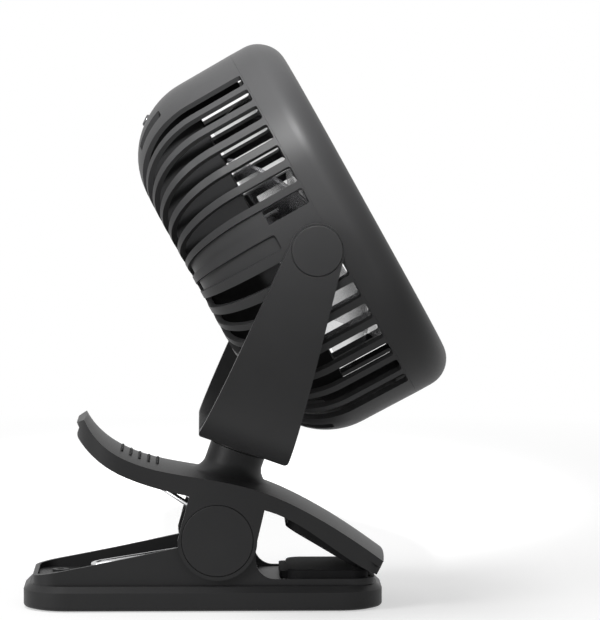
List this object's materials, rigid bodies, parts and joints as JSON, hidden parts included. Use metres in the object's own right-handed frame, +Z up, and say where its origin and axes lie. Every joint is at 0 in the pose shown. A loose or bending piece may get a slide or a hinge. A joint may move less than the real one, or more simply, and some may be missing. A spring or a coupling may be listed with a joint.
{
  "type": "clip fan",
  "caption": "Small black clip-on fan: rounded square head with side slots, tilting in a U yoke that swivels on a spring clamp with a weighted foot.",
  "frame": {"origin": "centre of the face that the base stands on", "axes": "+X from the handle end to the jaw end, +Y across the clamp, +Z up"},
  "size_m": [0.1759, 0.176, 0.2349],
  "materials": {
    "body_black": "fine satin grain",
    "trim_black": "smooth satin",
    "button_black": "semi gloss",
    "badge_black": "semi gloss, plain",
    "blade_smoke": "translucent smoke tint",
    "pad_rubber": "matte",
    "spring_steel": "bright drawn wire",
    "pin_steel": "turned",
    "screw_steel": "zinc plated",
    "ballast_iron": "raw",
    "motor_steel": "plated can",
    "motor_end": "moulded",
    "bush_brass": "sintered",
    "rotor_iron": "stacked sheets",
    "cell_wrap": "shrink wrap",
    "board_green": "coated laminate",
    "socket_metal": "plated shell"
  },
  "bodies": {
    "base": {"base_plate": "body_black", "foot_pad": "pad_rubber", "ballast_plate": "ballast_iron", "base_screws": "screw_steel", "lower_shell": "body_black", "hinge_pin": "pin_steel", "lower_jaw_pad": "pad_rubber", "torsion_spring": "spring_steel"},
    "lever": {"clamp_lever": "body_black", "grip_beads": "body_black", "upper_jaw_pad": "pad_rubber", "hinge_caps": "trim_black"},
    "yoke_arm": {"yoke": "body_black", "swivel_washer": "pin_steel", "swivel_screw": "screw_steel", "pivot_caps": "trim_black"},
    "head": {"rear_housing": "body_black", "front_bezel": "body_black", "front_grille": "body_black", "grille_badge": "badge_black", "motor_can": "motor_steel", "motor_end_bell": "motor_end", "motor_bushes": "bush_brass", "motor_bracket": "body_black", "battery_cells": "cell_wrap", "motor_screws": "screw_steel", "control_board": "board_green", "board_screws": "screw_steel", "tact_switch": "button_black", "usb_socket": "socket_metal", "pivot_screws": "screw_steel"},
    "rotor": {"impeller": "blade_smoke", "motor_shaft": "pin_steel", "motor_rotor": "rotor_iron"},
    "button": {"power_button": "button_black"}
  },
  "joints": [
    {"name": "clamp_hinge", "type": "hinge", "parent": "base", "child": "lever", "pos_m": [0.006, 0, 0.0293], "axis": [0, -1, 0], "range_deg": [0, 30], "stiffness_Nm_per_rad": 1.5, "springref_deg": -34.38, "deforming": ["torsion_spring"]},
    {"name": "neck_swivel", "type": "hinge", "parent": "lever", "child": "yoke_arm", "pos_m": [0.0149, 0, 0.065], "axis": [0.3338, 0, 0.9426], "continuous": true},
    {"name": "head_tilt", "type": "hinge", "parent": "yoke_arm", "child": "head", "pos_m": [0.04597, 0, 0.15273], "axis": [0, 1, 0], "continuous": true},
    {"name": "impeller_spin", "type": "hinge", "parent": "head", "child": "rotor", "pos_m": [0.04361, 0, 0.15697], "axis": [0.8746, 0, 0.4848], "continuous": true},
    {"name": "button_press", "type": "slide", "parent": "head", "child": "button", "axis": [0.9033, 0, -0.4289], "range_m": [0, 0.0008], "stiffness_N_per_m": 400}
  ]
}
